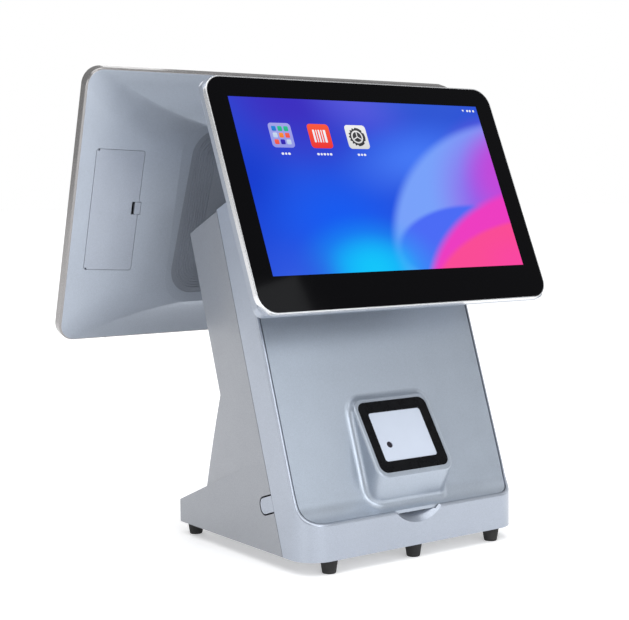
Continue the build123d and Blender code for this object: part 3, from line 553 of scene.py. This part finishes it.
WALLPAPER = wallpaper("picture_wallpaper")
WHITE = lit_colour("picture_white", (250, 251, 255), (236, 240, 252))
FOLDER = lit_colour("picture_folder", (166, 168, 236), (150, 156, 236))
RED = lit_colour("picture_red", (255, 92, 60), (240, 52, 52))
PALE = lit_colour("picture_pale", (246, 246, 246), (222, 222, 222))
DARK = lit_colour("picture_dark", (70, 70, 72), (52, 52, 54))
TILES = [
    lit_colour("picture_tile_blue", (40, 140, 220), (24, 120, 210)),
    lit_colour("picture_tile_green", (50, 196, 150), (34, 180, 134)),
    lit_colour("picture_tile_orange", (255, 150, 60), (246, 128, 40)),
    lit_colour("picture_tile_coral", (250, 104, 84), (240, 84, 66)),
    lit_colour("picture_tile_indigo", (58, 44, 190), (46, 34, 170)),
    lit_colour("picture_tile_mist", (206, 222, 246), (190, 210, 240)),
]
TILE_ORDER = (0, 1, 1, 5, 2, 3, 3, 4, 5)

# the icons' measures, in shares of an icon's side
TILE = 0.2
TILE_PITCH = 0.27
BARS_START = -0.30        # left edge of the first bar, from the middle
BAR_WIDTHS = (0.09, 0.045, 0.07, 0.045, 0.11)
BAR_GAP = 0.06
BAR_HEIGHT = 0.52
BAR_CORNER = 0.012
GEAR = 0.39               # radius over the teeth
TOOTH = 0.05              # depth
TEETH = 16
RING = 0.27               # outer radius
HUB = 0.21                # radius
SPOKE_REACH = 0.24
SPOKE_HALF = 0.022        # half a spoke's width


def folder_icon(picture, x, y, size):
    picture.shape(moved(rounded(size, size, size * ICON_CORNER), x, y), 1, FOLDER)
    tile, pitch = size * TILE, size * TILE_PITCH
    for i, which in enumerate(TILE_ORDER):
        column, row = i % 3 - 1, 1 - i // 3
        outline = moved(rounded(tile, tile, tile * 0.22), x + column * pitch, y + row * pitch)
        picture.shape(outline, 2, TILES[which])


def bars_icon(picture, x, y, size):
    """A plain shop symbol: a row of bars of different widths."""
    picture.shape(moved(rounded(size, size, size * ICON_CORNER), x, y), 1, RED)
    left = BARS_START * size
    for width in BAR_WIDTHS:
        middle = left + width * size / 2
        outline = rounded(width * size, size * BAR_HEIGHT, size * BAR_CORNER, 2)
        picture.shape(moved(outline, x + middle, y), 2, WHITE)
        left += (width + BAR_GAP) * size


def gear_icon(picture, x, y, size):
    """A cog with a ring and three spokes inside it."""
    picture.shape(moved(rounded(size, size, size * ICON_CORNER), x, y), 1, PALE)
    picture.shape(moved(gear_outline(size * GEAR, size * TOOTH, TEETH), x, y), 2, DARK)
    picture.shape(moved(circle(size * RING), x, y), 3, PALE)
    picture.shape(moved(circle(size * HUB), x, y), 4, DARK)
    half = size * SPOKE_HALF
    spoke = bar(0, size * SPOKE_REACH, -half, half)
    for turn in (90, 210, 330):
        a = radians(turn)
        turned = [(px * cos(a) - py * sin(a), px * sin(a) + py * cos(a)) for px, py in spoke]
        picture.shape(moved(turned, x, y), 5, PALE)


def home_screen(picture, size, grow):
    """The wallpaper with three icons, a plain mark under each, and small marks in the corner."""
    width, height = size
    picture.shape(bar(-width / 2, width / 2, -height / 2, height / 2), 0, WALLPAPER)
    icons = (folder_icon, bars_icon, gear_icon)
    for draw, x, marks in zip(icons, ICON_PLACES, LABEL_MARKS):
        draw(picture, x * grow, ICON_HEIGHT * grow, ICON * grow)
        for i in range(marks):
            wide = MARK * (1.0 if i % 2 else WIDE_MARK) * grow
            mark = rounded(wide, MARK * grow, MARK * 0.3 * grow, 2)
            middle = x + (i - (marks - 1) / 2) * MARK_PITCH
            picture.shape(moved(mark, middle * grow, (ICON_HEIGHT - LABEL_DROP) * grow), 1, WHITE)
    status_y = height / 2 - STATUS_DROP * grow
    wedge = [(px * grow, py * grow) for px, py in WEDGE]
    picture.shape(moved(wedge, width / 2 - WEDGE_PLACE * grow, status_y), 1, WHITE)
    mark = rounded(STATUS_MARK * grow, STATUS_MARK * grow, STATUS_CORNER * grow, 2)
    for x in STATUS_PLACES:
        picture.shape(moved(mark, width / 2 - x * grow, status_y), 1, WHITE)


def make_pictures():
    customer = Picture(
        "customer_picture", "customer_glass", CUSTOMER_TILT, -1, CUSTOMER_GLASS, CUSTOMER_RISE)
    home_screen(customer, CUSTOMER_PICTURE, 1.0)
    customer.finish("customer_display")
    cashier = Picture("cashier_picture", "main_glass", CASHIER_TILT, 1, CASHIER_GLASS, 0.0)
    home_screen(cashier, CASHIER_PICTURE, CASHIER_PICTURE[0] / CUSTOMER_PICTURE[0])
    cashier.finish("main_display")


# ---- floor, lights and camera ----------------------------------------------------------------
def make_floor():
    mesh = bmesh.new()
    bmesh.ops.create_circle(mesh, cap_ends=True, segments=96, radius=FLOOR_RADIUS)
    data = bpy.data.meshes.new("floor")
    mesh.to_mesh(data)
    mesh.free()
    floor = bpy.data.objects.new("floor", data)
    data.materials.append(floor_paint("pale_floor"))
    bpy.context.scene.collection.objects.link(floor)


def make_world():
    world = bpy.data.worlds.new("studio")
    bpy.context.scene.world = world
    world.use_nodes = True
    tree = world.node_tree
    background = tree.nodes["Background"]
    background.inputs["Color"].default_value = (1.0, 1.0, 1.0, 1.0)
    background.inputs["Strength"].default_value = WORLD_LIGHT
    seen = tree.nodes.new("ShaderNodeBackground")
    seen.inputs["Color"].default_value = (1.0, 1.0, 1.0, 1.0)
    seen.inputs["Strength"].default_value = 1.0
    path = tree.nodes.new("ShaderNodeLightPath")
    choose = tree.nodes.new("ShaderNodeMixShader")
    tree.links.new(path.outputs["Is Camera Ray"], choose.inputs["Fac"])
    tree.links.new(background.outputs[0], choose.inputs[1])
    tree.links.new(seen.outputs[0], choose.inputs[2])
    tree.links.new(choose.outputs[0], tree.nodes["World Output"].inputs["Surface"])


def softbox(name, at, size, watts, tint):
    data = bpy.data.lights.new(name, "AREA")
    data.shape = "RECTANGLE"
    data.size, data.size_y = size
    data.energy = watts
    data.color = tint
    lamp = bpy.data.objects.new(name, data)
    lamp.location = at
    lamp.rotation_euler = (Vector(LIGHTS_AIM) - Vector(at)).to_track_quat("-Z", "Y").to_euler()
    bpy.context.scene.collection.objects.link(lamp)


def make_lights():
    sky = bpy.data.lights.new("ceiling", "SUN")
    sky.energy = CEILING_LIGHT
    sky.angle = radians(CEILING_SPREAD)
    ceiling = bpy.data.objects.new("ceiling", sky)
    ceiling.rotation_euler = [radians(a) for a in CEILING_TURN]
    bpy.context.scene.collection.objects.link(ceiling)
    for name, at, size, watts, tint in SOFTBOXES:
        softbox(name, at, size, watts, tint)


def make_camera():
    yaw, pitch, roll = (radians(a) for a in (CAMERA_YAW, CAMERA_PITCH, CAMERA_ROLL))
    forward = Vector((sin(yaw) * cos(pitch), cos(yaw) * cos(pitch), -sin(pitch)))
    right = Vector((cos(yaw), -sin(yaw), 0))
    down = forward.cross(right)
    turned_right = right * cos(roll) + down * sin(roll)
    turned_down = down * cos(roll) - right * sin(roll)
    data = bpy.data.cameras.new("camera")
    data.lens = CAMERA_LENS
    data.sensor_width = SENSOR
    camera = bpy.data.objects.new("camera", data)
    axes = Matrix((turned_right, -turned_down, -forward)).transposed()
    camera.matrix_world = Matrix.Translation(CAMERA_AT) @ axes.to_4x4()
    bpy.context.scene.collection.objects.link(camera)
    bpy.context.scene.camera = camera


make_camera()
make_world()
make_lights()
make_floor()
dress_cad_nodes()
make_pictures()
bpy.context.scene.view_settings.view_transform = "Standard"
